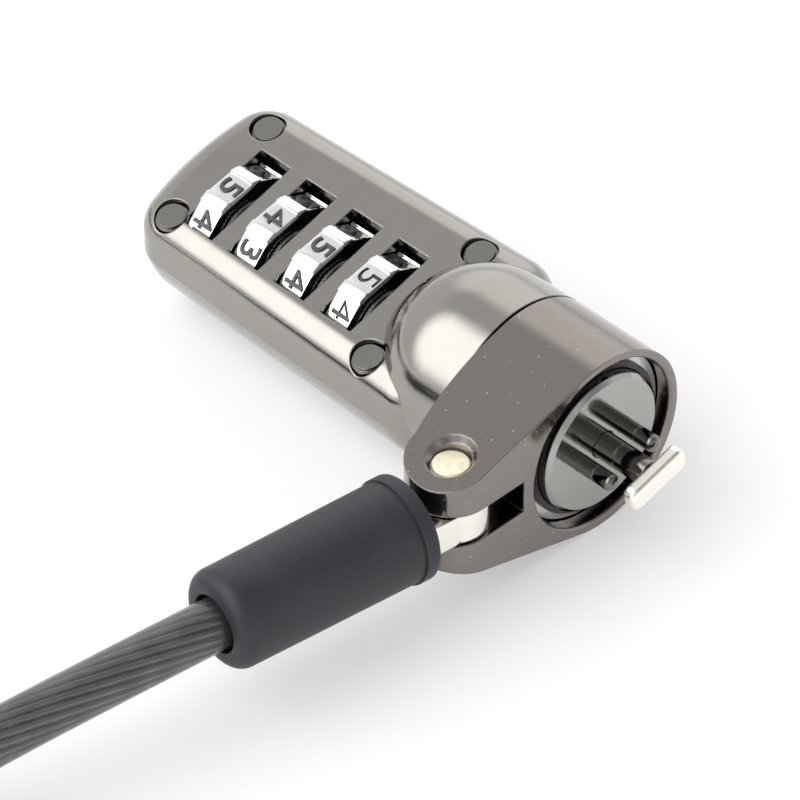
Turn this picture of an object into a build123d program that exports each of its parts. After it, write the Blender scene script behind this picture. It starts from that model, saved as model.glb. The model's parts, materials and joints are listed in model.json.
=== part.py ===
from build123d import *
from math import cos, pi, radians, sin, sqrt, tan
import os

# Laptop cable lock, in millimetres. +X runs along the barrel, out of the nose. The origin is on the
# barrel's axis in the plane of the nose. The lock lies on a table at z = FLOOR: its cable lug
# points level along -Y, and its dial housing is rolled about the barrel's axis.

# ---- driving dimensions ----
ROLL = 15.2  # how far the dial housing is rolled about the barrel, degrees
BARREL_R = 9.42  # barrel, dome and cable collar
FLOOR = -BARREL_R
RUN = 0.08  # running clearance, radial

FACE_Z = 4.5  # dial face above the barrel's axis
HULL_DEPTH = 9.1  # the lower shell below the barrel's axis
FRONT_HALF_W = 10.4  # half width of the housing at its front
REAR_HALF_W = 9.5  # and at its rear corner posts
HOUSING_FRONT = -13.4
HOUSING_REAR = -52.8
DOME_X = -14.8  # centre of the dome
CORNER_R = 4.2
REAR_BOW = 1.5
REAR_ROUND = 5.5  # how far the lower shell's rear end rounds up
SHOULDER_R = 3.1

PITCH = 6.0  # between dials
DIAL_COUNT = 4
DIAL_1_X = -44.9  # middle of the rearmost dial
DIAL_W = 2.8
DIAL_R = 6.55  # over the ribs
DIAL_FLAT = 6.2  # from the axis to a digit flat
DIAL_BORE_R = 4.1
DIAL_Y = -1.68  # the dial shaft's offset from the barrel's axis, across the face
DIAL_Z = -0.85  # and square to the face
DIGITS = 10
DIAL_PHASE = 3.0  # where the shown digit stands from the top, degrees
WINDOW_W = 3.9
WINDOW_L = 10.4
WINDOW_Y = -1.15
WINDOW_SHIFT = 0.37  # window centre ahead of its dial's centre
POCKET_R = 6.8
SHAFT_BORE_R = 3.1

POST_HOLE_R = 1.75
PLUG_CAP_R = 1.4
POST_DEPTH = 0.4  # from the face down to the plug
FRONT_POST = (-21.4, 7.3)
REAR_POST = (-48.0, 6.35)

COLLAR_REAR = -10.15
COLLAR_OPEN_R = 8.55
COLLAR_STEP = -2.6  # shoulder behind the retaining ring
NECK_R = 8.2
NECK_NOSE_R = 7.6
NECK_BORE_R = 7.05
NECK_REAR = -17.0
NOSE_R = 6.97
NOSE_REAR = -11.0
BULKHEAD = -14.0
SPINDLE_PIN_X = -15.5
SPINDLE_PIN_R = 0.5

PIN_Y = 2.69
PIN_R = 0.82
PIN_TIP = 4.0
PIN_LINE_X = 1.8
SPINDLE_R = 1.3
SPINDLE_GROOVE_X = 2.2
TBAR_BACK = 5.65
TBAR_T = 1.35
TBAR_L = 6.9
TBAR_H = 2.5

RIVET_X = -3.9
RIVET_Y = -15.1
COLLAR_EDGE_R = 0.35
LUG_TIP_R = 3.9
LUG_TIP_REAR = 4.4  # the tip reaches this far behind the rivet
LUG_TAPER = 15.9  # half angle of the lug's wedge, degrees
FORK_GAP = 3.5
FORK_END_Y = -9.94
TONGUE_T = 3.2
TONGUE_ANGLE = -7.2  # the tongue's swing from -Y, about +Z, degrees
SLEEVE_START = 4.75  # from the rivet
SLEEVE_END = 25.6
SLEEVE_R = 4.85
CABLE_START = 22.0
CABLE_R = 2.4

COIL_CENTRE = (-52.8, -89.0)
COIL_MEAN_R = 26.5
COIL_WIDE = 4
COIL_HIGH = 2
COIL_IN_ANGLE = -20.0  # where the cable meets the coil's outer turn
COIL_OUT_ANGLE = 200.0  # where it leaves
EYE_FERRULE_L = 13.0


# ---- frames ----
def housing_point(x, y, z):
    """A point given in the rolled housing's axes."""
    a = radians(ROLL)
    return Vector(x, y * cos(a) - z * sin(a), y * sin(a) + z * cos(a))


HOUSING_Y = housing_point(0, 1, 0)
HOUSING_Z = housing_point(0, 0, 1)


def face_plane(z, x=0.0, y=0.0):
    """Parallel to the dial face, at height z above the barrel's axis."""
    return Plane(origin=housing_point(x, y, z), x_dir=(1, 0, 0), z_dir=HOUSING_Z)


def cross_plane(x, y=0.0, z=0.0):
    """Square to the barrel: local x across the face, local y along its normal."""
    return Plane(origin=housing_point(x, y, z), x_dir=HOUSING_Y, z_dir=(1, 0, 0))


def level_cross_plane(x):
    """Square to the barrel, level with the lug: local x is +Y, local y is +Z."""
    return Plane(origin=(x, 0, 0), x_dir=(0, 1, 0), z_dir=(1, 0, 0))


def dial_plane(x):
    return cross_plane(x, DIAL_Y, DIAL_Z)


def dial_x(i):
    """Middle of dial i, counted from the rear."""
    return DIAL_1_X + i * PITCH


TONGUE_DIR = Vector(sin(radians(TONGUE_ANGLE)), -cos(radians(TONGUE_ANGLE)), 0)
RIVET = Vector(RIVET_X, RIVET_Y, 0)


def tongue_plane(s):
    """Square to the cable's exit, a distance s from the rivet."""
    return Plane(origin=RIVET + TONGUE_DIR * s, x_dir=(0, 0, 1), z_dir=TONGUE_DIR)


os.makedirs("parts", exist_ok=True)


def save(part, name):
    part.label = name
    export_step(part, f"parts/{name}.step")


POSTS = [(x, side * y) for x, y in (FRONT_POST, REAR_POST) for side in (1, -1)]
DIAL_XS = [dial_x(i) for i in range(DIAL_COUNT)]
STRIP_X = (DIAL_XS[0] + DIAL_XS[-1]) / 2 + WINDOW_SHIFT


def housing_plan(z, narrowed=1.0):
    """Half widths taper from the front corners to the rear ones, and the rear end is bowed.

    A narrowed plan keeps its front, and its rear end comes forward as it narrows.
    """
    taper = (FRONT_HALF_W - REAR_HALF_W) / (HOUSING_FRONT - REAR_POST[0])
    front_w = FRONT_HALF_W * narrowed
    rear_w = (REAR_HALF_W - taper * (REAR_POST[0] - HOUSING_REAR)) * narrowed
    rear_x = HOUSING_REAR + REAR_ROUND * (1 - narrowed)
    corner_x = rear_x + REAR_BOW * narrowed
    with BuildSketch(face_plane(z)) as plan:
        with BuildLine():
            Polyline((corner_x, rear_w), (HOUSING_FRONT, front_w),
                     (HOUSING_FRONT, -front_w), (corner_x, -rear_w))
            ThreePointArc((corner_x, -rear_w), (rear_x, 0), (corner_x, rear_w))
        make_face()
        fillet(plan.vertices(), CORNER_R * narrowed)
    return plan.sketch


def barrel_profile():
    """Half section of the barrel and dome round the neck's bore, turned about the barrel's axis."""
    dome_rear = DOME_X - BARREL_R
    front = COLLAR_REAR - 0.3
    with BuildSketch(Plane(origin=(0, 0, 0), x_dir=(1, 0, 0), z_dir=-HOUSING_Z)) as profile:
        with BuildLine():
            Polyline((dome_rear, 0), (NECK_REAR, 0), (NECK_REAR, -NECK_R), (front, -NECK_R),
                     (front, -BARREL_R), (DOME_X, -BARREL_R))
            RadiusArc((DOME_X, -BARREL_R), (dome_rear, 0), BARREL_R)
        make_face()
    return profile.sketch


BARREL_PROFILE = barrel_profile()


def cut_mechanism_space(chamber_depth):
    """Hollows that both housing shells share, cut from the shell being built."""
    with BuildSketch(cross_plane(-23.6)) as chamber:
        Rectangle(13.0, chamber_depth)
    extrude(chamber.sketch, amount=5.4, mode=Mode.SUBTRACT)
    with BuildSketch(cross_plane(-18.6)) as passage:
        Circle(6.2)
    extrude(passage.sketch, amount=1.7, mode=Mode.SUBTRACT)
    for x in DIAL_XS:
        with BuildSketch(dial_plane(x + WINDOW_SHIFT - WINDOW_W / 2)) as pocket:
            Circle(POCKET_R)
        extrude(pocket.sketch, amount=WINDOW_W, mode=Mode.SUBTRACT)
    with BuildSketch(dial_plane(HOUSING_REAR + 1.6)) as shaft_bore:
        Circle(SHAFT_BORE_R)
    extrude(shaft_bore.sketch, amount=28.4, mode=Mode.SUBTRACT)


# ---- upper housing: dial face, shoulders, upper half of the barrel and dome ----
with BuildPart() as upper_housing:
    add(housing_plan(0))
    extrude(amount=FACE_Z)
    top_edges = upper_housing.faces().sort_by(Axis((0, 0, 0), HOUSING_Z))[-1].edges()
    fillet(top_edges, SHOULDER_R)
    with BuildSketch(cross_plane(NECK_REAR)):
        Circle(NECK_R)
    extrude(amount=-NECK_REAR, mode=Mode.SUBTRACT)
    add(BARREL_PROFILE)
    revolve(axis=Axis.X, revolution_arc=180)
    for x in DIAL_XS:
        with BuildSketch(face_plane(-0.5, x + WINDOW_SHIFT, WINDOW_Y)):
            Rectangle(WINDOW_W, WINDOW_L)
        extrude(amount=FACE_Z + 1.0, mode=Mode.SUBTRACT)
    cut_mechanism_space(7.2)
    # corner post holes: a wide mouth for the plug, then the screw's shank
    for x, y in POSTS:
        with BuildSketch(face_plane(FACE_Z + 0.5, x, y)):
            Circle(POST_HOLE_R)
        extrude(amount=-0.5 - POST_DEPTH - 2.4, mode=Mode.SUBTRACT)
        with BuildSketch(face_plane(FACE_Z, x, y)):
            Circle(0.95)
        extrude(amount=-FACE_Z - 0.5, mode=Mode.SUBTRACT)
save(upper_housing.part, "upper_housing")

# ---- lower housing: round hull, lower half of the barrel and dome ----
HULL_LEVELS = (0, 16, 32, 48, 63, 76)  # sections of the hull, as angles round it from the parting line
HULL_FULLNESS = 0.8  # 1 is an ellipse, less is fuller
with BuildPart() as lower_housing:
    for angle in HULL_LEVELS:
        add(housing_plan(-HULL_DEPTH * sin(radians(angle)), cos(radians(angle)) ** HULL_FULLNESS))
    loft()
    with BuildSketch(cross_plane(NECK_REAR)):
        Circle(NECK_R)
    extrude(amount=-NECK_REAR, mode=Mode.SUBTRACT)
    add(BARREL_PROFILE)
    revolve(axis=Axis.X, revolution_arc=-180)
    cut_mechanism_space(11.0)
    # channel for the detent strip
    with BuildSketch(face_plane(DIAL_Z - POCKET_R + 0.2, STRIP_X, DIAL_Y)):
        Rectangle(25.0, 3.6)
    extrude(amount=-0.6, mode=Mode.SUBTRACT)
    # threaded posts
    for x, y in POSTS:
        with BuildSketch(face_plane(0.5, x, y)):
            Circle(0.8)
        extrude(amount=-3.6, mode=Mode.SUBTRACT)
save(lower_housing.part, "lower_housing")

# ---- corner screws and the flat plugs over them ----
with BuildPart() as housing_screws:
    for x, y in POSTS:
        with BuildSketch(face_plane(FACE_Z - POST_DEPTH - 1.0, x, y)):
            Circle(1.55)
        extrude(amount=-1.3)
        with BuildSketch(face_plane(FACE_Z - POST_DEPTH - 2.2, x, y)):
            Circle(0.8)
        extrude(amount=-3.9)
save(housing_screws.part, "housing_screws")

with BuildPart() as screw_plugs:
    for x, y in POSTS:
        with BuildSketch(face_plane(FACE_Z - POST_DEPTH - 0.9, x, y)):
            Circle(POST_HOLE_R - 0.15)
        extrude(amount=0.5)
        with BuildSketch(face_plane(FACE_Z - POST_DEPTH - 0.4, x, y)):
            Circle(PLUG_CAP_R)
        extrude(amount=0.4)
save(screw_plugs.part, "screw_plugs")


# ---- dials, code rings, washers ----
FLAT_HALF_ANGLE = 12.5  # half the arc of a digit flat, degrees


def dial_profile():
    flat_w = 2 * DIAL_R * sin(radians(FLAT_HALF_ANGLE))
    with BuildSketch() as profile:
        Circle(DIAL_R)
        with PolarLocations(DIAL_FLAT + 1.0, DIGITS, start_angle=90 - DIAL_PHASE):
            Rectangle(2.0, flat_w, mode=Mode.SUBTRACT)
        Circle(DIAL_BORE_R, mode=Mode.SUBTRACT)
    return profile.sketch


DIAL_PROFILE = dial_profile()

for i, x in enumerate(DIAL_XS, start=1):
    with BuildPart() as dial:
        with BuildSketch(dial_plane(x - DIAL_W / 2)):
            add(DIAL_PROFILE)
        extrude(amount=DIAL_W)
        chamfer(dial.faces().sort_by(Axis.X)[-1].outer_wire().edges(), 0.15)
    save(dial.part, f"dial_{i}")

for i, x in enumerate(DIAL_XS, start=1):
    with BuildPart() as code_ring:
        with BuildSketch(dial_plane(x - DIAL_W / 2 + 0.2)):
            Circle(DIAL_BORE_R)
            Circle(2.75, mode=Mode.SUBTRACT)
            with Locations((0, 2.9)):
                Rectangle(1.4, 1.4, mode=Mode.SUBTRACT)
        extrude(amount=DIAL_W - 0.4)
    save(code_ring.part, f"code_ring_{i}")

with BuildPart() as dial_washers:
    for x in DIAL_XS:
        with BuildSketch(dial_plane(x + DIAL_W / 2 + 0.25)):
            Circle(3.9)
            Circle(3.15, mode=Mode.SUBTRACT)
        extrude(amount=0.4)
save(dial_washers.part, "dial_washers")

with BuildPart() as detent_strip:
    with BuildSketch(face_plane(DIAL_Z - POCKET_R, STRIP_X, DIAL_Y)):
        Rectangle(24.0, 3.2)
        with GridLocations(PITCH, 0, DIAL_COUNT, 1):
            with Locations((1.6, 0.9), (1.6, -0.9)):
                Rectangle(4.2, 0.4, mode=Mode.SUBTRACT)
    extrude(amount=-0.3)
save(detent_strip.part, "detent_strip")

# ---- locking shaft: fins between the code rings, driver plate and finger at its front ----
SHAFT_R = 2.0
FIN_R = 2.95
FINGER_RADIUS = 4.4  # from the barrel's axis
FINGER_TIP = NOSE_REAR - 0.75
TRAVEL = 1.2
with BuildPart() as locking_shaft:
    with BuildSketch(dial_plane(-49.2)):
        Circle(SHAFT_R)
    extrude(amount=49.2 - 21.6)
    for x in DIAL_XS:
        with BuildSketch(dial_plane(x + DIAL_W / 2 + 0.7)):
            with Locations((0, (SHAFT_R + FIN_R) / 2 - 0.2)):
                Rectangle(1.1, FIN_R - SHAFT_R + 0.4)
        extrude(amount=1.0)
    with BuildSketch(cross_plane(-23.0)):
        with Locations((0, -1.6)):
            RectangleRounded(8.4, 6.8, 1.2)
    extrude(amount=1.5)
    with BuildSketch(cross_plane(-23.0)):
        with Locations((0, -FINGER_RADIUS)):
            Rectangle(1.6, 1.2)
    extrude(amount=FINGER_TIP + 23.0)
save(locking_shaft.part, "locking_shaft")

with BuildPart() as shaft_spring:
    with BuildLine() as coil_line:
        Helix(pitch=0.42, height=1.2, radius=2.5, direction=(1, 0, 0),
              center=housing_point(HOUSING_REAR + 1.95, DIAL_Y, DIAL_Z))
    with BuildSketch(Plane(origin=coil_line.line @ 0, z_dir=coil_line.line % 0)):
        Circle(0.17)
    sweep(is_frenet=True)
save(shaft_spring.part, "shaft_spring")

# ---- barrel neck, nose plug and its fittings ----
with BuildPart() as barrel_neck:
    with BuildSketch(cross_plane(NECK_REAR)):
        Circle(NECK_R)
    extrude(amount=COLLAR_STEP - NECK_REAR)
    with BuildSketch(cross_plane(COLLAR_STEP)):
        Circle(NECK_NOSE_R)
    extrude(amount=-COLLAR_STEP - 1.2)
    with BuildSketch(cross_plane(BULKHEAD)):
        Circle(NECK_BORE_R)
    extrude(amount=-BULKHEAD, mode=Mode.SUBTRACT)
    with BuildSketch(cross_plane(NECK_REAR)):
        Circle(SPINDLE_R)
        with Locations((0, -FINGER_RADIUS)):
            Rectangle(1.9, 1.5)
    extrude(amount=BULKHEAD - NECK_REAR, mode=Mode.SUBTRACT)
    # cross hole for the spindle pin, above the finger's way
    with BuildSketch(face_plane(-3.0, SPINDLE_PIN_X)):
        Circle(SPINDLE_PIN_R)
    extrude(amount=9.0, mode=Mode.SUBTRACT)
    # radial hole for the stop pin
    with BuildSketch(face_plane(5.0, -6.6)):
        Circle(0.6)
    extrude(amount=4.0, mode=Mode.SUBTRACT)
save(barrel_neck.part, "barrel_neck")

with BuildPart() as spindle_pin:
    with BuildSketch(face_plane(-3.0, SPINDLE_PIN_X)):
        Circle(SPINDLE_PIN_R)
    extrude(amount=8.8)
save(spindle_pin.part, "spindle_pin")

with BuildPart() as stop_pin:
    with BuildSketch(face_plane(6.0, -6.6)):
        Circle(0.6)
    extrude(amount=sqrt(NECK_R**2 - 0.6**2) - 6.05)
save(stop_pin.part, "stop_pin")

QUARTER = 90.0
STOP_HALF_ANGLE = 7.0
RAMP_STEPS = 8
RAMP_START = 28.0  # degrees of turn before the finger would reach the plug's rear face
RAMP_END = QUARTER + 14.0
FINGER_HALF_ANGLE = 12.0  # seen from the barrel's axis


def plug_half_plane(turned):
    """Holds the barrel's axis and the place under the finger once the plug has turned that far."""
    a = radians(turned)
    towards = -HOUSING_Z * cos(a) - HOUSING_Y * sin(a)
    return Plane(origin=(0, 0, 0), x_dir=(1, 0, 0), z_dir=Vector(1, 0, 0).cross(towards))


def stop_groove_profile():
    """Section of the arc groove for the stop pin."""
    with BuildSketch(Plane(origin=(0, 0, 0), x_dir=(1, 0, 0), z_dir=-HOUSING_Y)) as section:
        with Locations((-6.6, (NOSE_R + 5.7) / 2)):
            Rectangle(1.6, NOSE_R - 5.7 + 0.6)
    return section.sketch


with BuildPart() as nose_plug:
    with BuildSketch(cross_plane(NOSE_REAR)):
        Circle(NOSE_R)
    extrude(amount=-NOSE_REAR)
    chamfer(nose_plug.faces().sort_by(Axis.X)[-1].edges(), 0.4)
    with BuildSketch(cross_plane(NOSE_REAR)):
        Circle(SPINDLE_R + RUN)
        with GridLocations(2 * PIN_Y, 0, 2, 1):
            Circle(PIN_R - 0.12)
    extrude(amount=-NOSE_REAR, mode=Mode.SUBTRACT)
    # shallow counterbores that the guard pins stand in
    with BuildSketch(cross_plane(-1.0)):
        with GridLocations(2 * PIN_Y, 0, 2, 1):
            Circle(PIN_R)
    extrude(amount=1.0, mode=Mode.SUBTRACT)
    # arc groove for the stop pin
    add(stop_groove_profile())
    revolve(axis=Axis.X, revolution_arc=-(QUARTER + STOP_HALF_ANGLE), mode=Mode.SUBTRACT)
    add(stop_groove_profile())
    revolve(axis=Axis.X, revolution_arc=STOP_HALF_ANGLE, mode=Mode.SUBTRACT)
    # cam ramp in the rear face, in fine steps: the finger follows it as the plug turns
    for step in range(RAMP_STEPS):
        step_angle = (RAMP_END - RAMP_START) / RAMP_STEPS
        reached = min(RAMP_START + (step + 1) * step_angle + FINGER_HALF_ANGLE, QUARTER)
        ramp_x = FINGER_TIP + TRAVEL * reached / QUARTER + 0.15
        with BuildSketch(plug_half_plane(RAMP_START + step * step_angle)):
            with BuildLine():
                Polyline((NOSE_REAR - 0.5, 3.5), (ramp_x, 3.5), (ramp_x, 5.3), (NOSE_REAR - 0.5, 5.3),
                         close=True)
            make_face()
        revolve(axis=Axis.X, revolution_arc=-step_angle, mode=Mode.SUBTRACT)
save(nose_plug.part, "nose_plug")

with BuildPart() as guard_pins:
    for side in (1, -1):
        with BuildSketch(cross_plane(-1.0)):
            with Locations((side * PIN_Y, 0)):
                Circle(PIN_R)
        extrude(amount=1.0 + PIN_TIP)
        with BuildSketch(cross_plane(-3.0)):
            with Locations((side * PIN_Y, 0)):
                Circle(PIN_R - 0.12)
        extrude(amount=2.0)
    fillet(guard_pins.faces().sort_by(Axis.X)[-2:].edges(), 0.6)
    # a turned line round each pin
    with BuildSketch(cross_plane(PIN_LINE_X)):
        with GridLocations(2 * PIN_Y, 0, 2, 1):
            Circle(PIN_R + 0.1)
            Circle(PIN_R - 0.05, mode=Mode.SUBTRACT)
    extrude(amount=0.1, mode=Mode.SUBTRACT)
save(guard_pins.part, "guard_pins")

with BuildPart() as plug_spring:
    with BuildLine() as coil_line:
        Helix(pitch=0.85, height=2.4, radius=2.6, direction=(1, 0, 0), center=(BULKHEAD + 0.3, 0, 0))
    with BuildSketch(Plane(origin=coil_line.line @ 0, z_dir=coil_line.line % 0)):
        Circle(0.22)
    sweep(is_frenet=True)
save(plug_spring.part, "plug_spring")

RING_GAP_ANGLE = 61.0
with BuildPart() as retaining_ring:
    with BuildSketch(cross_plane(COLLAR_STEP + 0.1)):
        Circle(COLLAR_OPEN_R - 0.15)
        Circle(NECK_NOSE_R, mode=Mode.SUBTRACT)
        with PolarLocations(COLLAR_OPEN_R - 0.5, 1, start_angle=RING_GAP_ANGLE):
            Rectangle(2.4, 1.2, mode=Mode.SUBTRACT)
    extrude(amount=0.8)
save(retaining_ring.part, "retaining_ring")

# ---- spindle and T-head ----
with BuildPart() as spindle:
    with BuildSketch(cross_plane(NECK_REAR)):
        Circle(SPINDLE_R)
    extrude(amount=-NECK_REAR + TBAR_BACK)
    with BuildSketch(cross_plane(TBAR_BACK)):
        Circle(0.8)
    extrude(amount=0.8)
    with BuildSketch(face_plane(-SPINDLE_R, SPINDLE_PIN_X)):
        Circle(SPINDLE_PIN_R)
    extrude(amount=2 * SPINDLE_R, mode=Mode.SUBTRACT)
    with BuildSketch(cross_plane(SPINDLE_GROOVE_X)):
        Circle(SPINDLE_R + 0.1)
        Circle(SPINDLE_R - 0.12, mode=Mode.SUBTRACT)
    extrude(amount=0.2, mode=Mode.SUBTRACT)
save(spindle.part, "spindle")

with BuildPart() as t_head:
    with BuildSketch(cross_plane(TBAR_BACK)):
        RectangleRounded(TBAR_L, TBAR_H, 0.9)
    extrude(amount=TBAR_T)
    fillet(t_head.faces().sort_by(Axis.X)[-1].edges(), 0.5)
    fillet(t_head.faces().sort_by(Axis.X)[0].edges(), 0.3)
    with BuildSketch(cross_plane(TBAR_BACK)):
        Circle(0.8)
    extrude(amount=0.8, mode=Mode.SUBTRACT)
save(t_head.part, "t_head")


# ---- cable collar: a ring with a forked wedge lug ----
def wedge_z(u):
    """Half height of the lug at a distance u from the barrel's axis."""
    a = radians(LUG_TAPER)
    return (BARREL_R - u * sin(a)) / cos(a)


LUG_END_Y = RIVET_Y - LUG_TIP_R
BLANK_END_Y = LUG_END_Y - 1.0
TAN_Y = -BARREL_R * sin(radians(LUG_TAPER))
TAN_Z = BARREL_R * cos(radians(LUG_TAPER))
with BuildPart() as cable_collar:
    with BuildSketch(level_cross_plane(COLLAR_REAR)):
        Circle(BARREL_R)
        with BuildLine():
            Polyline((TAN_Y, TAN_Z), (BLANK_END_Y, wedge_z(-BLANK_END_Y)),
                     (BLANK_END_Y, -wedge_z(-BLANK_END_Y)), (TAN_Y, -TAN_Z), close=True)
        make_face()
    extrude(amount=-COLLAR_REAR)
    # plan outline of the lug
    with BuildSketch(Plane.XY.offset(-12)):
        with BuildLine():
            Line((COLLAR_REAR, 12), (0, 12))
            Line((0, 12), (0, RIVET_Y))
            EllipticalCenterArc((RIVET_X, RIVET_Y), -RIVET_X, LUG_TIP_R, 270, arc_size=90)
            EllipticalCenterArc((RIVET_X, RIVET_Y), LUG_TIP_REAR, LUG_TIP_R, 180, arc_size=90)
            ThreePointArc((RIVET_X - LUG_TIP_REAR, RIVET_Y), (-9.38, -11.0), (COLLAR_REAR, -4.0))
            Line((COLLAR_REAR, -4.0), (COLLAR_REAR, 12))
        make_face()
    extrude(amount=24, mode=Mode.INTERSECT)
    # bore over the neck, and the wider mouth for the retaining ring
    with BuildSketch(level_cross_plane(COLLAR_REAR)):
        Circle(NECK_R + RUN)
    extrude(amount=-COLLAR_REAR, mode=Mode.SUBTRACT)
    with BuildSketch(level_cross_plane(COLLAR_STEP)):
        Circle(COLLAR_OPEN_R)
    extrude(amount=-COLLAR_STEP, mode=Mode.SUBTRACT)
    fillet(cable_collar.faces().sort_by(Axis.X)[-1].inner_wires().edges(), COLLAR_EDGE_R)
    # fork slot
    with BuildSketch(level_cross_plane(-12)):
        with Locations((FORK_END_Y - 6, 0)):
            Rectangle(12, FORK_GAP)
    extrude(amount=14, mode=Mode.SUBTRACT)
    # rivet hole, countersunk into both slanted faces
    with BuildSketch(Plane.XY.offset(-12)):
        with Locations((RIVET_X, RIVET_Y)):
            Circle(1.8)
    extrude(amount=24, mode=Mode.SUBTRACT)
    for side in (1, -1):
        slope = Plane(origin=(RIVET_X, RIVET_Y, side * wedge_z(-RIVET_Y)), x_dir=(1, 0, 0),
                      z_dir=(0, -side * sin(radians(LUG_TAPER)), side * cos(radians(LUG_TAPER))))
        with BuildSketch(slope):
            Circle(2.35)
        with BuildSketch(slope.offset(-0.55)):
            Circle(1.85)
        loft(mode=Mode.SUBTRACT)
save(cable_collar.part, "cable_collar")

RIVET_END = wedge_z(-RIVET_Y) - 0.75
with BuildPart() as lug_rivet:
    with BuildSketch(Plane.XY.offset(-RIVET_END)):
        with Locations((RIVET_X, RIVET_Y)):
            Circle(1.75)
    extrude(amount=2 * RIVET_END)
    chamfer(lug_rivet.faces().filter_by(GeomType.PLANE).edges(), 0.15)
save(lug_rivet.part, "lug_rivet")

# ---- tongue, ferrule and rubber sleeve ----
TONGUE_PLAN = Plane(origin=(RIVET_X, RIVET_Y, -TONGUE_T / 2), x_dir=TONGUE_DIR, z_dir=(0, 0, 1))
with BuildPart() as cable_tongue:
    with BuildSketch(TONGUE_PLAN):
        Circle(3.6)
        with Locations((4.0, 0)):
            Rectangle(8.0, 6.6)
    extrude(amount=TONGUE_T)
    with BuildSketch(TONGUE_PLAN):
        Circle(1.75 + RUN)
    extrude(amount=TONGUE_T, mode=Mode.SUBTRACT)
    with BuildSketch(tongue_plane(6.0)):
        Circle(2.9)
    extrude(amount=3.0)
save(cable_tongue.part, "cable_tongue")

with BuildPart() as cable_ferrule:
    with BuildSketch(tongue_plane(9.0)):
        Circle(3.4)
    extrude(amount=CABLE_START - 9.0)
    chamfer(cable_ferrule.edges().filter_by(GeomType.CIRCLE), 0.3)
save(cable_ferrule.part, "cable_ferrule")

with BuildPart() as cable_sleeve:
    with BuildSketch(tongue_plane(SLEEVE_START)):
        Circle(SLEEVE_R + 0.2)
    extrude(amount=1.6)
    with BuildSketch(tongue_plane(SLEEVE_START + 1.6)):
        Circle(SLEEVE_R)
    with BuildSketch(tongue_plane(SLEEVE_END)):
        Circle(SLEEVE_R - 0.15)
    loft()
    fillet(cable_sleeve.edges().group_by(Axis(RIVET, TONGUE_DIR))[-1], 1.4)
    fillet(cable_sleeve.edges().group_by(Axis(RIVET, TONGUE_DIR))[0], 0.5)
    # socket over the tongue and ferrule
    with BuildSketch(tongue_plane(SLEEVE_START)):
        Rectangle(TONGUE_T, 6.6)
    extrude(amount=8.0 - SLEEVE_START, mode=Mode.SUBTRACT)
    with BuildSketch(tongue_plane(6.0)):
        Circle(2.9)
    extrude(amount=3.0, mode=Mode.SUBTRACT)
    with BuildSketch(tongue_plane(9.0)):
        Circle(3.4)
    extrude(amount=CABLE_START - 9.0, mode=Mode.SUBTRACT)
    with BuildSketch(tongue_plane(CABLE_START)):
        Circle(CABLE_R + 0.4)
    extrude(amount=SLEEVE_END - CABLE_START + 1, mode=Mode.SUBTRACT)
save(cable_sleeve.part, "cable_sleeve")

# ---- free cable: from the sleeve down to the table and into its coil ----
LIE_Z = FLOOR + CABLE_R
COIL_STEP = 2 * CABLE_R
COIL_OUT_R = COIL_MEAN_R + (COIL_WIDE - 1) / 2 * COIL_STEP  # axis of the outermost turn


def on_coil(angle, radius, z):
    a = radians(angle)
    return Vector(COIL_CENTRE[0] + radius * cos(a), COIL_CENTRE[1] + radius * sin(a), z)


CABLE_EXIT = RIVET + TONGUE_DIR * CABLE_START
COIL_ENTRY = on_coil(COIL_IN_ANGLE, COIL_OUT_R, LIE_Z)
COIL_LEAVE = on_coil(COIL_OUT_ANGLE, COIL_OUT_R, LIE_Z + COIL_STEP)
FERRULE_HALF_H = CABLE_R + 0.8
ROUTE = [
    CABLE_EXIT,
    Vector(-8.4, -50.8, 0),
    Vector(-10.9, -65.1, -1.0),
    Vector(-14.2, -79.2, -4.2),
    Vector(-17.9, -91.7, LIE_Z),
    COIL_ENTRY,
]
TAIL = [
    COIL_LEAVE,
    Vector(-88.6, -89.2, -2.5),
    Vector(-93.7, -78.3, -5.2),
    Vector(-99.2, -68.8, FLOOR + FERRULE_HALF_H),
    Vector(-104.2, -61.3, FLOOR + FERRULE_HALF_H),
]


def free_radii(points):
    """The largest smooth arc at each corner: 0.45 of the shorter run either side."""
    radii = []
    for before, corner, after in zip(points, points[1:], points[2:]):
        run_in = corner - before
        run_out = after - corner
        half_turn = radians(run_in.get_angle(run_out)) / 2
        radii.append(0.45 * min(run_in.length, run_out.length) / tan(half_turn))
    return radii


def cable_along(points, radii):
    """A cable of plain round section along straight runs joined by tangent arcs."""
    with BuildPart() as cable:
        with BuildLine() as route:
            FilletPolyline(*points, radius=radii)
        with BuildSketch(Plane(origin=route.line @ 0, z_dir=route.line % 0)):
            Circle(CABLE_R)
        sweep()
    length = sum(edge.length for edge in route.edges())
    share = cable.part.volume / (pi * CABLE_R**2 * length)
    print(f"length {length:.1f}, volume over section times length {share:.4f}")
    print("radii", [round(r, 1) for r in radii])
    return cable.part


save(cable_along(ROUTE, free_radii(ROUTE)), "cable_tube")
save(cable_along(TAIL, free_radii(TAIL)), "cable_tail")

with BuildPart() as cable_coil:
    with BuildSketch(Plane.XY.offset(FLOOR)):
        with Locations(COIL_CENTRE):
            Circle(COIL_MEAN_R + COIL_WIDE / 2 * COIL_STEP)
            Circle(COIL_MEAN_R - COIL_WIDE / 2 * COIL_STEP, mode=Mode.SUBTRACT)
    extrude(amount=COIL_HIGH * COIL_STEP)
    fillet(cable_coil.edges().filter_by(GeomType.CIRCLE), CABLE_R - 0.4)
save(cable_coil.part, "cable_coil")

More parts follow.
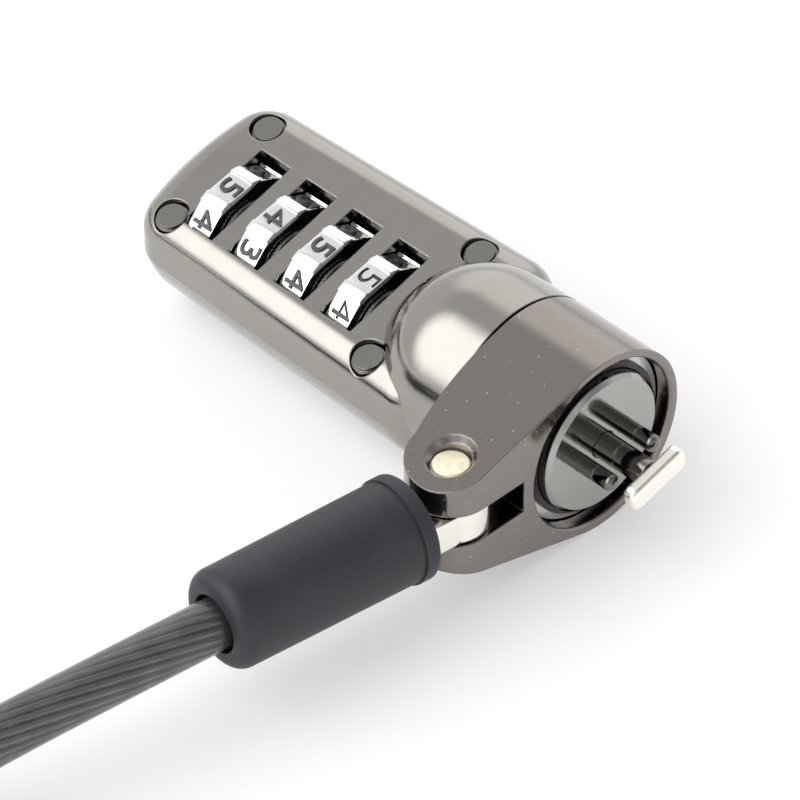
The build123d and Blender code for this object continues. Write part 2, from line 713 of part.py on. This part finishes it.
# ---- the cable's far end: an eye closed by a crimped ferrule ----
TAIL_RUN = TAIL[-1] - TAIL[-2]
EYE_DIR = Vector(TAIL_RUN.X, TAIL_RUN.Y, 0).normalized()
EYE_SIDE = Vector(-EYE_DIR.Y, EYE_DIR.X, 0)
CABLE_PAIR = CABLE_R + 0.05  # each cable's distance from the ferrule's middle
FERRULE_BACK = TAIL[-1] + EYE_SIDE * CABLE_PAIR
EYE_PLANE = Plane(origin=FERRULE_BACK + EYE_DIR * EYE_FERRULE_L, x_dir=EYE_DIR, z_dir=(0, 0, 1))
EYE_HALF = [(0, CABLE_PAIR), (7, CABLE_PAIR), (27, 16.5), (50, 17.5)]
EYE_RADII = [20, 20, 14]

with BuildPart() as eye_ferrule:
    with BuildSketch(Plane(origin=FERRULE_BACK, x_dir=EYE_SIDE, z_dir=EYE_DIR)):
        SlotOverall(2 * (FERRULE_HALF_H + CABLE_PAIR), 2 * FERRULE_HALF_H)
    extrude(amount=EYE_FERRULE_L)
    chamfer(eye_ferrule.edges().group_by(Axis(FERRULE_BACK, EYE_DIR))[-1], 0.6)
    chamfer(eye_ferrule.edges().group_by(Axis(FERRULE_BACK, EYE_DIR))[0], 0.6)
save(eye_ferrule.part, "eye_ferrule")

with BuildPart() as cable_eye:
    with BuildLine(EYE_PLANE) as loop:
        FilletPolyline(*[(x, -y) for x, y in EYE_HALF], *reversed(EYE_HALF),
                       radius=EYE_RADII + EYE_RADII[::-1])
    with BuildSketch(Plane(origin=loop.line @ 0, z_dir=loop.line % 0)):
        Circle(CABLE_R)
    sweep()
save(cable_eye.part, "cable_eye")
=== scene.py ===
from math import cos, pi, radians, sin
import json

import bmesh
import bpy
from mathutils import Matrix, Vector


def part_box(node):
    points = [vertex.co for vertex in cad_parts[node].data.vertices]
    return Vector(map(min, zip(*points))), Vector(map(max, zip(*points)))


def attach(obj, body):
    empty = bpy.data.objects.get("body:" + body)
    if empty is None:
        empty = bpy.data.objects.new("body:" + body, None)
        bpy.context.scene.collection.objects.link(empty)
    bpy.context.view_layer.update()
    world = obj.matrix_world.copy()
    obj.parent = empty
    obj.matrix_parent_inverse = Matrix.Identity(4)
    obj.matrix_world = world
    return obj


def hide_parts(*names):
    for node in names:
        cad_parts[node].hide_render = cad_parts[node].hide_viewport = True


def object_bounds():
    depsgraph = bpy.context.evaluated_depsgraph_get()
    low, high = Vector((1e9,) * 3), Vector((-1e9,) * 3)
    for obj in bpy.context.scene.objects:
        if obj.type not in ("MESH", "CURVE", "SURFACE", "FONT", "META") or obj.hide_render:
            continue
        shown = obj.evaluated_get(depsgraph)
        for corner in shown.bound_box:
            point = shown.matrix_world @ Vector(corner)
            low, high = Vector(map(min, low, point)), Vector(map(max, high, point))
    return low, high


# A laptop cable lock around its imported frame, in metres: the camera, a finish for each sub-part, the cord,
# the dials with their digits, and last the floor and the light.

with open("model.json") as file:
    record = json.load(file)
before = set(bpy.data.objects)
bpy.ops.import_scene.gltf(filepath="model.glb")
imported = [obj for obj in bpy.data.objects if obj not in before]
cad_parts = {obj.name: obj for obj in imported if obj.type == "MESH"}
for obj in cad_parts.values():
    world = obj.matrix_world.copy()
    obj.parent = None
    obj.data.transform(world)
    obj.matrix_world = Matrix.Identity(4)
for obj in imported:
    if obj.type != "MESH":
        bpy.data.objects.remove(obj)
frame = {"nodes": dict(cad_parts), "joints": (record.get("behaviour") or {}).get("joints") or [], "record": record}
CAD_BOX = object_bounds()
NODES = frame["nodes"]
JOINTS = {joint["name"]: joint for joint in frame["joints"]}
MM = 0.001

# ---- the housing's own axes: it is rolled about the barrel ----
ROLL = radians(15.2)
HOUSING_Y = Vector((0, cos(ROLL), sin(ROLL)))
HOUSING_Z = Vector((0, -sin(ROLL), cos(ROLL)))
FLOOR_Z = CAD_BOX[0].z


# ---- camera ----
def make_camera():
    """Stands 41 degrees above the table and 45 degrees off the barrel, with a long lens."""
    back = Vector((0.53921, -0.53124, 0.65348)).normalized()
    aim = Vector((-14.41, -10.99, 2.96)) * MM
    distance = 578.9 * MM
    data = bpy.data.cameras.new("camera")
    data.sensor_width = 36.0
    data.lens = 295.3
    data.clip_start = 0.02
    data.clip_end = 20.0
    camera = bpy.data.objects.new("camera", data)
    camera.location = aim + back * distance
    camera.rotation_mode = "QUATERNION"
    camera.rotation_quaternion = (-back).to_track_quat("-Z", "Y")
    bpy.context.scene.collection.objects.link(camera)
    bpy.context.scene.camera = camera


make_camera()


# ---- material helpers ----
class Paint:
    """A Principled material and short calls for the nodes that feed it. Lengths are in metres."""

    def __init__(self, name, base, metallic=0.0, roughness=0.3, **sockets):
        self.material = bpy.data.materials.new(name)
        self.material.use_nodes = True
        self.tree = self.material.node_tree
        self.shader = self.tree.nodes["Principled BSDF"]
        self.base = base
        self.set("Base Color", (*base, 1))
        self.set("Metallic", metallic)
        self.set("Roughness", roughness)
        for socket, value in sockets.items():
            self.set(socket.replace("_", " "), value)
        self.place = self.node("ShaderNodeTexCoord").outputs["Object"]
        self.normal = None

    def set(self, socket, value):
        self.shader.inputs[socket].default_value = value

    def node(self, kind, **inputs):
        made = self.tree.nodes.new(kind)
        for name, value in inputs.items():
            self.feed(made.inputs[name.replace("_", " ")], value)
        return made

    def feed(self, socket, value):
        if isinstance(value, bpy.types.NodeSocket):
            self.tree.links.new(value, socket)
        else:
            socket.default_value = value

    def noise(self, size, detail=2.0, stretch=(1, 1, 1), distortion=0.0):
        """Smooth noise whose lumps are about size across, from 0 to 1."""
        spread = self.node("ShaderNodeMapping", Vector=self.place, Scale=stretch)
        made = self.node("ShaderNodeTexNoise", Vector=spread.outputs[0], Scale=1 / size,
                         Detail=detail, Distortion=distortion)
        return made.outputs[0]

    def specks(self, size, radius):
        """1 in scattered dots, 0 between them."""
        cells = self.node("ShaderNodeTexVoronoi", Vector=self.place, Scale=1 / size)
        return self.ramp(cells.outputs["Distance"], radius, radius * 0.4, 0, 1)

    def ramp(self, value, low, high, out_low, out_high):
        """value from low to high becomes out_low to out_high, and stays there beyond them."""
        made = self.node("ShaderNodeMapRange")
        names = ("Value", "From Min", "From Max", "To Min", "To Max")
        for name, given in zip(names, (value, low, high, out_low, out_high)):
            self.feed(made.inputs[name], given)
        return made.outputs[0]

    def math(self, operation, a, b):
        made = self.tree.nodes.new("ShaderNodeMath")
        made.operation = operation
        self.feed(made.inputs[0], a)
        self.feed(made.inputs[1], b)
        return made.outputs[0]

    def blend(self, factor, a, b):
        made = self.tree.nodes.new("ShaderNodeMix")
        made.data_type = "RGBA"
        self.feed(made.inputs["Factor"], factor)
        self.feed(made.inputs[6], a)
        self.feed(made.inputs[7], b)
        return made.outputs[2]

    def vary_colour(self, factor, other):
        """Towards another colour where factor is 1."""
        socket = self.shader.inputs["Base Color"]
        now = socket.links[0].from_socket if socket.links else (*self.base, 1)
        self.feed(socket, self.blend(factor, now, (*other, 1)))

    def vary_roughness(self, value):
        self.feed(self.shader.inputs["Roughness"], value)

    def bump(self, height, distance, strength=1.0):
        """Lays relief of that depth, in metres, on what shapes the surface already."""
        made = self.node("ShaderNodeBump", Height=height, Distance=distance, Strength=strength)
        if self.normal is not None:
            self.feed(made.inputs["Normal"], self.normal)
        self.normal = made.outputs[0]
        self.feed(self.shader.inputs["Normal"], self.normal)

    def rounded_edges(self, radius):
        """Edges catch the light as if broken to this radius, and relief is laid on top of that."""
        self.normal = self.node("ShaderNodeBevel", Radius=radius).outputs[0]
        self.feed(self.shader.inputs["Normal"], self.normal)


def plated(name, base, roughness, polish=1.0, edge=0.0, dust_radius=0.045, dust_tone=0.35):
    """Polished plate over a casting: faint waviness, buffing haze, hair scratches and dust."""
    paint = Paint(name, base, metallic=1.0, roughness=roughness)
    if edge:
        paint.rounded_edges(edge)
    haze = paint.noise(2.6 * MM, detail=4)
    scratches = paint.noise(0.25 * MM, detail=3, stretch=(0.08, 1, 1), distortion=0.4)
    dust = paint.specks(1.1 * MM, dust_radius)
    rough = paint.ramp(haze, 0.3, 0.75, roughness * 0.75, roughness * 1.5)
    scratched = paint.ramp(scratches, 0.62, 0.75, 0.0, 0.10)
    rough = paint.math("ADD", rough, scratched)
    paint.vary_roughness(paint.math("ADD", rough, paint.math("MULTIPLY", dust, 0.35)))
    paint.vary_colour(paint.ramp(haze, 0.35, 0.7, 0.0, 0.12), tuple(c * 0.8 for c in base))
    paint.vary_colour(paint.math("MULTIPLY", dust, dust_tone), (0.75, 0.75, 0.75))
    paint.bump(paint.noise(4.5 * MM, detail=1), 0.012 * MM * polish)
    paint.bump(scratches, 0.0012 * MM)
    return paint


def dark_nickel():
    return plated("dark_nickel", (0.34, 0.325, 0.30), 0.12, edge=0.22 * MM).material


def collar_nickel():
    """The same plate, darker and browner on the collar, with more dust and fine scratches."""
    paint = plated("collar_nickel", (0.255, 0.232, 0.215), 0.10, edge=0.25 * MM,
                   dust_radius=0.075, dust_tone=0.8)
    cross = paint.noise(0.18 * MM, detail=3, stretch=(1, 0.06, 1), distortion=0.3)
    lines = paint.ramp(cross, 0.64, 0.72, 0.0, 0.35)
    paint.vary_colour(lines, (0.42, 0.39, 0.36))
    paint.bump(cross, 0.001 * MM)
    return paint.material


def bright_chrome():
    return plated("bright_chrome", (0.88, 0.885, 0.88), 0.10, polish=0.6).material


def black_chrome():
    return plated("black_chrome", (0.21, 0.20, 0.185), 0.06, edge=0.12 * MM).material


def disk_nickel():
    """The nose disk: between the housing's plate and the pins' black chrome."""
    return plated("disk_nickel", (0.40, 0.39, 0.375), 0.1, edge=0.15 * MM,
                  dust_radius=0.06, dust_tone=0.6).material


def neck_black():
    return plated("neck_black", (0.055, 0.055, 0.058), 0.28).material


def warm_nickel():
    return plated("warm_nickel", (0.97, 0.94, 0.86), 0.13, edge=0.2 * MM).material


def rivet_metal():
    """The rivet's peened end: softer, cream-gold and slightly ragged."""
    paint = Paint("rivet_metal", (0.97, 0.89, 0.68), metallic=0.35, roughness=0.42)
    dents = paint.noise(0.7 * MM, detail=3)
    paint.vary_roughness(paint.ramp(dents, 0.3, 0.7, 0.3, 0.5))
    paint.vary_colour(paint.ramp(dents, 0.45, 0.65, 0.0, 0.4), (0.70, 0.62, 0.45))
    paint.bump(dents, 0.05 * MM)
    paint.bump(paint.noise(0.16 * MM, detail=2), 0.008 * MM)
    return paint.material


def steel():
    return plated("steel", (0.60, 0.60, 0.60), 0.24).material


def brass():
    return plated("brass", (0.74, 0.58, 0.30), 0.2).material


def plug_black():
    return plated("plug_black", (0.25, 0.24, 0.225), 0.2, edge=0.1 * MM).material


def sleeve_rubber():
    """Moulded rubber: a fine grain, handling shine and pale lint."""
    paint = Paint("sleeve_rubber", (0.024, 0.0245, 0.031), roughness=0.5, Specular_IOR_Level=0.4)
    shine = paint.noise(5 * MM, detail=3)
    grain = paint.noise(0.16 * MM, detail=2)
    paint.vary_roughness(paint.ramp(shine, 0.3, 0.7, 0.42, 0.56))
    paint.vary_colour(paint.ramp(shine, 0.35, 0.7, 0.0, 0.5), (0.040, 0.042, 0.048))
    paint.vary_colour(paint.math("MULTIPLY", paint.specks(1.8 * MM, 0.03), 0.5), (0.3, 0.3, 0.31))
    paint.bump(grain, 0.012 * MM)
    paint.bump(shine, 0.03 * MM)
    return paint.material


def cable_jacket():
    """Smoky clear sheath, slightly scuffed."""
    paint = Paint("cable_jacket", (0.25, 0.255, 0.265), roughness=0.14, IOR=1.46)
    paint.set("Transmission Weight", 0.88)
    scuff = paint.noise(1.6 * MM, detail=4)
    paint.vary_roughness(paint.ramp(scuff, 0.35, 0.75, 0.14, 0.30))
    paint.bump(paint.noise(3.0 * MM, detail=1), 0.03 * MM)
    return paint.material


def strand_steel():
    """Bright drawn wire with patches of old oil."""
    paint = Paint("strand_steel", (0.60, 0.61, 0.61), metallic=1.0, roughness=0.22)
    oil = paint.noise(2.0 * MM, detail=3)
    paint.vary_colour(paint.ramp(oil, 0.35, 0.7, 0.0, 0.6), (0.30, 0.30, 0.32))
    return paint.material


def digit_paint():
    """Dark paint in the engraved digits, worn pale in places."""
    paint = Paint("digit_paint", (0.055, 0.055, 0.058), roughness=0.45)
    wear = paint.noise(0.4 * MM, detail=3)
    paint.vary_colour(paint.ramp(wear, 0.5, 0.75, 0.0, 0.6), (0.16, 0.16, 0.16))
    return paint.material


MATERIALS = {
    "dark_nickel": dark_nickel(), "bright_chrome": bright_chrome(), "black_chrome": black_chrome(),
    "neck_black": neck_black(), "warm_nickel": warm_nickel(), "steel": steel(), "brass": brass(),
    "plug_black": plug_black(), "sleeve_rubber": sleeve_rubber(), "cable_jacket": cable_jacket(),
}
STRANDS = strand_steel()
DIGIT_PAINT = digit_paint()


def finish_cad_nodes():
    """Every CAD node takes the finish of its slot in the record, and three have a finish of their own."""
    for row in frame["record"]["subparts"]:
        node = NODES[row["node"]]
        node.data.materials.clear()
        node.data.materials.append(MATERIALS[row["material_slot"]])
    own = {"lug_rivet": rivet_metal(), "cable_collar": collar_nickel(), "nose_plug": disk_nickel()}
    for name, material in own.items():
        slots = NODES[name].data.materials
        slots.clear()
        slots.append(material)


finish_cad_nodes()


# ---- mesh helpers ----
def add_piece(name, data, body, material):
    """A new object from a mesh in the row frame, riding on a body."""
    data.materials.clear()
    data.materials.append(material)
    piece = bpy.data.objects.new(name, data)
    bpy.context.scene.collection.objects.link(piece)
    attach(piece, body)
    return piece


# ---- the cord: its route repeats the points of the CAD tube, coil and tail ----
CABLE_R = 2.4 * MM
JACKET_SIDES = 20
RIVET_PIN = Vector(JOINTS["tongue_swing"]["pos_m"])
TONGUE_ANGLE = radians(-7.2)
TONGUE_DIR = Vector((sin(TONGUE_ANGLE), -cos(TONGUE_ANGLE), 0))
CABLE_START = 22.0  # from the rivet to the cable's own end inside the sleeve's mouth, in mm
CABLE_EXIT = RIVET_PIN + TONGUE_DIR * CABLE_START * MM
COIL_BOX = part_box("cable_coil")
COIL_CENTRE = (COIL_BOX[0] + COIL_BOX[1]) / 2
COIL_STEP = 2 * CABLE_R
COIL_OUTER_R = (COIL_BOX[1].x - COIL_BOX[0].x) / 2 - CABLE_R
COIL_IN_ANGLE = -20.0
COIL_OUT_ANGLE = 200.0
LOW_Z = FLOOR_Z + CABLE_R
HIGH_Z = LOW_Z + COIL_STEP
ROUTE = [
    CABLE_EXIT,
    Vector((-8.4, -50.8, 0)) * MM,
    Vector((-10.9, -65.1, -1.0)) * MM,
    Vector((-14.2, -79.2, -4.2)) * MM,
    Vector((-17.9, -91.7, -7.02)) * MM,
]
TAIL = [
    Vector((-88.6, -89.2, -2.5)) * MM,
    Vector((-93.7, -78.3, -5.2)) * MM,
    Vector((-99.2, -68.8, -6.22)) * MM,
    Vector((-104.2, -61.3, -6.22)) * MM,
]


def eased(turned, start, end):
    """0 before start, 1 after end, smooth between them."""
    t = min(max((turned - start) / (end - start), 0.0), 1.0)
    return t * t * (3 - 2 * t)


def coil_points():
    """The coil's turns, clockwise from above: four on the table going in, the rest on them going out.

    A turn keeps its radius but for a short stretch where the cable steps across to the next one.
    """
    per_turn = 24
    whole_turns = 7
    wound = whole_turns * 360 + (COIL_IN_ANGLE - COIL_OUT_ANGLE) % 360
    stretch = 60
    steps_in = [300, 660, 1020]
    climb = 1320
    steps_out = [1620, 1980, 2340]
    count = round(wound / 360 * per_turn)
    spread = 2 / (1 + cos(pi / per_turn))  # the spline runs inside its control points
    points = []
    for k in range(count + 1):
        turned = wound * k / count
        inward = sum(eased(turned, start, start + stretch) for start in steps_in)
        outward = sum(eased(turned, start, start + stretch) for start in steps_out)
        radius = (COIL_OUTER_R - COIL_STEP * (inward - outward)) * spread
        z = LOW_Z + (HIGH_Z - LOW_Z) * eased(turned, climb, climb + stretch)
        angle = radians(COIL_IN_ANGLE - turned)
        points.append(Vector((COIL_CENTRE.x + radius * cos(angle), COIL_CENTRE.y + radius * sin(angle), z)))
    return points


def nurbs_curve(name, points):
    """A curve of one open NURBS spline with these control points."""
    curve = bpy.data.curves.new(name, "CURVE")
    curve.dimensions = "3D"
    spline = curve.splines.new("NURBS")
    spline.points.add(len(points) - 1)
    for control, point in zip(spline.points, points):
        control.co = (*point, 1.0)
    spline.order_u = 3
    spline.use_endpoint_u = True
    spline.resolution_u = 8
    return curve


def read_curve(curve):
    """Points along the curve's own line."""
    holder = bpy.data.objects.new("reader", curve)
    bpy.context.scene.collection.objects.link(holder)
    bpy.context.view_layer.update()
    graph = bpy.context.evaluated_depsgraph_get()
    mesh = bpy.data.meshes.new_from_object(holder.evaluated_get(graph))
    points = [v.co.copy() for v in mesh.vertices]
    bpy.data.objects.remove(holder)
    bpy.data.meshes.remove(mesh)
    return points


def carried_frames(points):
    """A side vector at each point, carried along the line without twisting."""
    tangents = []
    for before, after in zip([points[0], *points[:-1]], [*points[1:], points[-1]]):
        tangents.append((after - before).normalized())
    side = tangents[0].cross(Vector((0, 0, 1))).normalized()
    sides = []
    for tangent in tangents:
        side = (side - tangent * side.dot(tangent)).normalized()
        sides.append(side)
    return tangents, sides


def tube_mesh(name, points, radius, around, lay=0.0, offset=0.0, phase=0.0):
    """A round tube along points. With an offset it winds round them once in each length of lay."""
    tangents, sides = carried_frames(points)
    travelled = 0.0
    verts = []
    for k, (point, tangent, side) in enumerate(zip(points, tangents, sides)):
        if k:
            travelled += (point - points[k - 1]).length
        up = tangent.cross(side)
        turn = phase + (2 * pi * travelled / lay if lay else 0.0)
        middle = point + (side * cos(turn) + up * sin(turn)) * offset
        for j in range(around):
            a = 2 * pi * j / around
            verts.append(middle + (side * cos(a) + up * sin(a)) * radius)
    faces = []
    for k in range(len(points) - 1):
        for j in range(around):
            a, b = k * around + j, k * around + (j + 1) % around
            faces.append((a, b, b + around, a + around))
    faces.append(tuple(reversed(range(around))))
    faces.append(tuple(len(verts) - around + j for j in range(around)))
    mesh = bpy.data.meshes.new(name)
    mesh.from_pydata([tuple(v) for v in verts], [], faces)
    mesh.shade_smooth()
    return mesh


def even_points(points, spacing):
    """The same line with points a set distance apart."""
    out = [points[0]]
    left = spacing
    for a, b in zip(points, points[1:]):
        run = (b - a).length
        at = left
        while at < run:
            out.append(a.lerp(b, at / run))
            at += spacing
        left = at - run
    out.append(points[-1])
    return out


STRAND_COUNT = 14
STRAND_SIDES = 6
CORE_R = 1.3 * MM
CORE_SIDES = 8
STRAND_R = 0.36 * MM
STRAND_RING = 1.52 * MM
STRAND_LAY = 62.0 * MM
STRAND_STEP = 1.6 * MM


def add_strands(name, points):
    """Strands wound round a core, as one wire rope."""
    line = even_points(points, STRAND_STEP)
    rope = bmesh.new()
    core = tube_mesh(name + "_core", line, CORE_R, CORE_SIDES)
    rope.from_mesh(core)
    for k in range(STRAND_COUNT):
        phase = 2 * pi * k / STRAND_COUNT
        strand = tube_mesh(f"{name}_{k}", line, STRAND_R, STRAND_SIDES, STRAND_LAY, STRAND_RING, phase)
        rope.from_mesh(strand)
    mesh = bpy.data.meshes.new(name)
    rope.to_mesh(mesh)
    rope.free()
    mesh.shade_smooth()
    return add_piece(name, mesh, "cable", STRANDS)


# the eye beyond the ferrule: half its route, as (along, aside) from the ferrule's front
TAIL_RUN = TAIL[-1] - TAIL[-2]
EYE_DIR = Vector((TAIL_RUN.x, TAIL_RUN.y, 0)).normalized()
EYE_SIDE = Vector((-EYE_DIR.y, EYE_DIR.x, 0))
EYE_FERRULE_L = 13.0 * MM
CABLE_PAIR = CABLE_R + 0.05 * MM  # each cable's distance from the ferrule's middle
EYE_START = TAIL[-1] + EYE_SIDE * CABLE_PAIR + EYE_DIR * EYE_FERRULE_L
EYE_HALF = [(0, CABLE_PAIR), (7 * MM, CABLE_PAIR), (27 * MM, 16.5 * MM), (50 * MM, 17.5 * MM)]


def add_cable(name, line):
    """A jacket and the strands in it along one NURBS line. Gives the jacket, the strands and the points."""
    points = read_curve(nurbs_curve(name, line))
    jacket = add_piece(f"{name}_jacket", tube_mesh(name, points, CABLE_R, JACKET_SIDES), "cable",
                       MATERIALS["cable_jacket"])
    return jacket, add_strands(f"{name}_strands", points), points


def eye_route():
    """Out along one side of the eye and back along the other."""
    sides = [(along, -aside) for along, aside in EYE_HALF] + EYE_HALF[::-1]
    return [EYE_START + EYE_DIR * along + EYE_SIDE * aside for along, aside in sides]


def add_cord():
    jacket, strands, points = add_cable("cable", ROUTE + coil_points() + TAIL)
    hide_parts("cable_tube", "cable_coil", "cable_tail")
    eye, eye_strands = add_cable("eye", eye_route())[:2]
    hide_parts("cable_eye")


add_cord()


# ---- dials: ten flats with engraved digits, ten ribs between them ----
DIGIT_COUNT = 10
DIGIT_PITCH = 2 * pi / DIGIT_COUNT
DIAL_R = 6.55 * MM
DIAL_FLAT = 6.2 * MM
DIAL_BORE_R = 4.1 * MM
DIAL_EDGE = 0.08 * MM
BROKEN_ANGLE = radians(25)  # only corners that turn more than this are broken
SHARP_ANGLE = radians(40)  # and beyond this the shading shows an edge
FLAT_HALF_ANGLE = radians(12.5)
SHOWN_ANGLE = radians(3.0)  # where the shown digit's flat stands from the top
SHOWN_DIGITS = [5, 4, 5, 5]  # from the rear dial to the front one
GLYPH_SIZE = 3.3 * MM
GLYPH_WIDE = 1.25
GLYPH_DEPTH = 0.16 * MM


def dial_outline():
    """Points round a dial in its own plane: a flat's two ends, then an arc over the rib beside it."""
    flat_half = DIAL_R * sin(FLAT_HALF_ANGLE)
    rib_points = 5
    outline = []
    for k in range(DIGIT_COUNT):
        middle = SHOWN_ANGLE + k * DIGIT_PITCH
        along = Vector((cos(middle), -sin(middle)))
        out = Vector((sin(middle), cos(middle)))
        outline.append(out * DIAL_FLAT - along * flat_half)
        outline.append(out * DIAL_FLAT + along * flat_half)
        rib_from, rib_to = middle + FLAT_HALF_ANGLE, middle + DIGIT_PITCH - FLAT_HALF_ANGLE
        for j in range(rib_points):
            a = rib_from + (rib_to - rib_from) * j / (rib_points - 1)
            outline.append(Vector((sin(a), cos(a))) * DIAL_R)
    return outline


def glyph_cutters(axis_point, middle_x, shown):
    """The ten digits as one closed mesh, sunk into their flats. They read along -Y with their tops to +X."""
    joined = bmesh.new()
    for k in range(DIGIT_COUNT):
        middle = SHOWN_ANGLE + k * DIGIT_PITCH
        text = bpy.data.curves.new("glyph", "FONT")
        text.body = str((shown + k) % DIGIT_COUNT)
        text.size = GLYPH_SIZE
        text.align_x = "CENTER"
        text.align_y = "CENTER"
        text.extrude = GLYPH_DEPTH
        text.resolution_u = 4
        holder = bpy.data.objects.new("glyph", text)
        out = HOUSING_Y * sin(middle) + HOUSING_Z * cos(middle)
        up = Vector((1, 0, 0))
        right = up.cross(out)
        place = axis_point + out * DIAL_FLAT
        turn = Matrix((right * GLYPH_WIDE, up, out)).transposed().to_4x4()
        holder.matrix_world = Matrix.Translation(Vector((middle_x, place.y, place.z))) @ turn
        bpy.context.scene.collection.objects.link(holder)
        bpy.context.view_layer.update()
        graph = bpy.context.evaluated_depsgraph_get()
        mesh = bpy.data.meshes.new_from_object(holder.evaluated_get(graph))
        mesh.transform(holder.matrix_world)
        joined.from_mesh(mesh)
        bpy.data.objects.remove(holder)
        bpy.data.curves.remove(text)
        bpy.data.meshes.remove(mesh)
    bmesh.ops.remove_doubles(joined, verts=joined.verts, dist=0.002 * MM)
    bmesh.ops.recalc_face_normals(joined, faces=joined.faces)
    mesh = bpy.data.meshes.new("glyphs")
    joined.to_mesh(mesh)
    joined.free()
    mesh.materials.append(DIGIT_PAINT)
    return bpy.data.objects.new("glyphs", mesh)


def dial_mesh(name, axis_point, x_low, x_high):
    """A ring with ribs and flats round it, its outer edges broken."""
    outline = dial_outline()
    inner = [p.normalized() * DIAL_BORE_R for p in outline]
    count = len(outline)
    verts = []
    for x in (x_low, x_high):
        for ring in (outline, inner):
            for y, z in ring:
                verts.append(Vector((x, axis_point.y, axis_point.z)) + HOUSING_Y * y + HOUSING_Z * z)
    faces = []
    for a in range(count):
        b = (a + 1) % count
        low_out, low_in, high_out, high_in = 0, count, 2 * count, 3 * count
        faces.append((low_out + a, low_out + b, high_out + b, high_out + a))
        faces.append((low_in + b, low_in + a, high_in + a, high_in + b))
        faces.append((low_out + b, low_out + a, low_in + a, low_in + b))
        faces.append((high_out + a, high_out + b, high_in + b, high_in + a))
    mesh = bpy.data.meshes.new(name)
    mesh.from_pydata([tuple(v) for v in verts], [], faces)
    solid = bmesh.new()
    solid.from_mesh(mesh)
    bmesh.ops.recalc_face_normals(solid, faces=solid.faces)
    edges = [e for e in solid.edges if e.is_convex and e.calc_face_angle() > BROKEN_ANGLE
             and all((v.co - Vector((v.co.x, axis_point.y, axis_point.z))).length > DIAL_BORE_R * 1.05
                     for v in e.verts)]
    bmesh.ops.bevel(solid, geom=edges, offset=DIAL_EDGE, segments=2, affect="EDGES", profile=0.5,
                    clamp_overlap=True)
    solid.to_mesh(mesh)
    solid.free()
    return mesh


def add_dial(number, shown):
    """Replaces a CAD dial by a wheel with ten digits cut into it."""
    node = f"dial_{number}"
    low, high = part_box(node)
    axis_point = Vector(JOINTS[f"{node}_turn"]["pos_m"])
    blank = dial_mesh(f"{node}_wheel", axis_point, low.x, high.x)
    wheel = add_piece(f"{node}_wheel", blank, node, MATERIALS["bright_chrome"])
    cutter = glyph_cutters(axis_point, (low.x + high.x) / 2, shown)
    bpy.context.scene.collection.objects.link(cutter)
    engrave = wheel.modifiers.new("engrave", "BOOLEAN")
    engrave.operation = "DIFFERENCE"
    engrave.solver = "EXACT"
    engrave.material_mode = "TRANSFER"
    engrave.object = cutter
    bpy.context.view_layer.update()
    graph = bpy.context.evaluated_depsgraph_get()
    carved = bpy.data.meshes.new_from_object(wheel.evaluated_get(graph))
    wheel.modifiers.clear()
    wheel.data = carved
    carved.shade_smooth()
    carved.set_sharp_from_angle(angle=SHARP_ANGLE)
    bpy.data.objects.remove(cutter)
    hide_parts(node)


for number, shown in enumerate(SHOWN_DIGITS, start=1):
    add_dial(number, shown)


# ---- floor and light ----
SKY_LEVEL = 0.95
# for each: direction, where it starts to fade and where it ends in degrees, brightness added
SKY_LOBES = [
    ((-0.35, -0.68, 0.645), 22, 41, 2.0),
    ((0.45, 0.3, 0.85), 14, 42, -0.6),
    ((0.6, -0.5, 0.6), 10, 30, -0.45),
    ((-0.54, 0.68, 0.5), 14, 30, 0.55),
    ((-0.54, 0.12, 0.83), 8, 22, -0.15),
]


def add_floor():
    """A pale card far larger than the view, faintly lit from within so that its shadows stay soft."""
    size = 6.0
    mesh = bpy.data.meshes.new("floor")
    corners = [(-size, -size), (size, -size), (size, size), (-size, size)]
    mesh.from_pydata([(x, y, FLOOR_Z) for x, y in corners], [], [(0, 1, 2, 3)])
    floor = bpy.data.objects.new("floor", mesh)
    bpy.context.scene.collection.objects.link(floor)
    paint = Paint("floor_card", (0.66, 0.66, 0.66), roughness=0.6)
    paint.set("Emission Color", (1.0, 1.0, 1.0, 1))
    paint.set("Emission Strength", 0.34)
    paint.set("Specular IOR Level", 0.2)
    paint.vary_colour(paint.noise(0.2, detail=2), (0.67, 0.67, 0.675))
    mesh.materials.append(paint.material)


def add_sky():
    """A white room: a large soft box on the lug's side, a faint one opposite and three darker patches."""
    world = bpy.data.worlds.new("studio")
    bpy.context.scene.world = world
    world.use_nodes = True
    tree = world.node_tree
    background = tree.nodes["Background"]
    place = tree.nodes.new("ShaderNodeTexCoord")

    def lobe(direction, inner, outer, amount):
        """amount within inner degrees of a direction, fading to nothing at outer degrees."""
        dot = tree.nodes.new("ShaderNodeVectorMath")
        dot.operation = "DOT_PRODUCT"
        tree.links.new(place.outputs["Generated"], dot.inputs[0])
        dot.inputs[1].default_value = Vector(direction).normalized()
        ramp = tree.nodes.new("ShaderNodeMapRange")
        ramp.interpolation_type = "SMOOTHSTEP"
        ramp.inputs["From Min"].default_value = cos(radians(outer))
        ramp.inputs["From Max"].default_value = cos(radians(inner))
        ramp.inputs["To Max"].default_value = amount
        tree.links.new(dot.outputs["Value"], ramp.inputs["Value"])
        return ramp.outputs[0]

    total = None
    for given in SKY_LOBES:
        part = lobe(*given)
        if total is None:
            total = part
            continue
        add = tree.nodes.new("ShaderNodeMath")
        add.operation = "ADD"
        tree.links.new(total, add.inputs[0])
        tree.links.new(part, add.inputs[1])
        total = add.outputs[0]
    lift = tree.nodes.new("ShaderNodeMath")
    lift.operation = "ADD"
    tree.links.new(total, lift.inputs[0])
    lift.inputs[1].default_value = SKY_LEVEL
    tree.links.new(lift.outputs[0], background.inputs["Strength"])
    background.inputs["Color"].default_value = (1.0, 1.0, 1.0, 1)


add_floor()
add_sky()
bpy.context.scene.view_settings.view_transform = "Standard"
